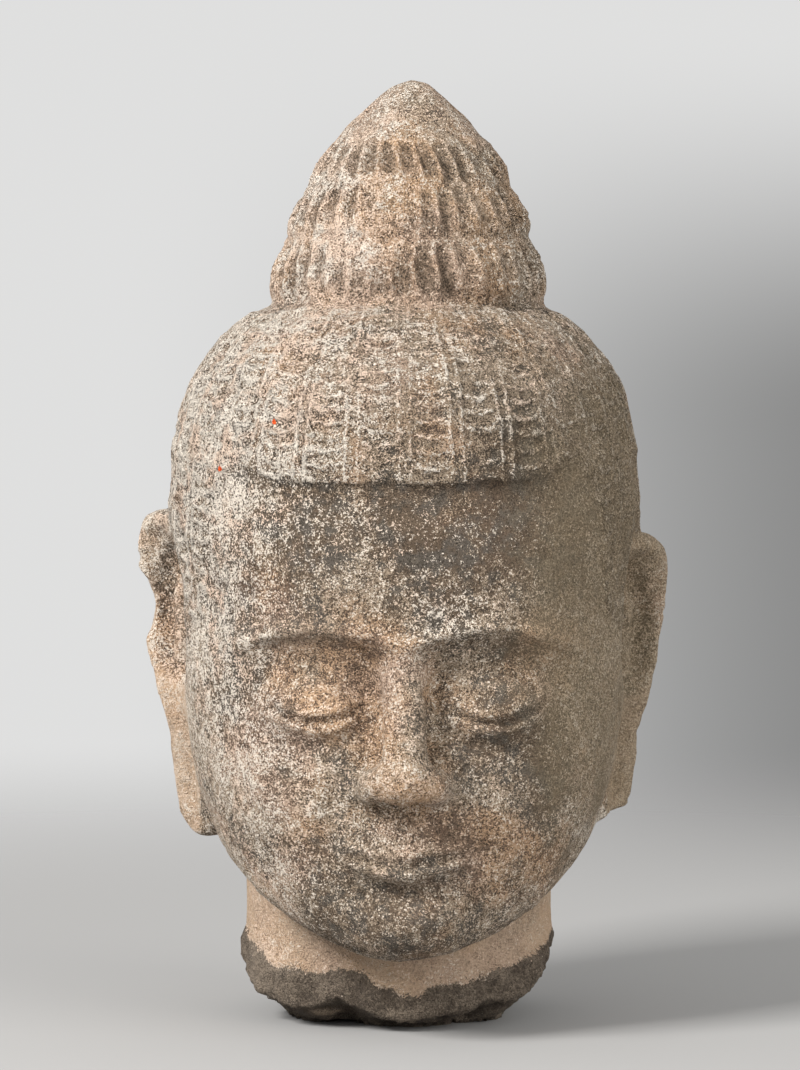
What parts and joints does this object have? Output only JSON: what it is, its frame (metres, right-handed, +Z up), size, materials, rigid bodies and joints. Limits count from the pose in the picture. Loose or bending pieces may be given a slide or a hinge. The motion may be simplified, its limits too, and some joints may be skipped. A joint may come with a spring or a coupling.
{
  "type": "stone buddha head",
  "caption": "Weathered carved stone head with a tiered pointed top-knot, plaited hair, long ears and a broken neck, on which it stands upright.",
  "frame": {"origin": "middle of the flat underside of the neck", "axes": "+Z up to the tip of the top-knot, the face looks along -Y, +X to the viewer's right"},
  "size_m": [0.1919, 0.1972, 0.3398],
  "materials": {
    "sandstone": "rough weathered sandstone with a grey-brown patina and pale crust"
  },
  "bodies": {
    "root": {"stone_head": "sandstone"}
  },
  "joints": []
}
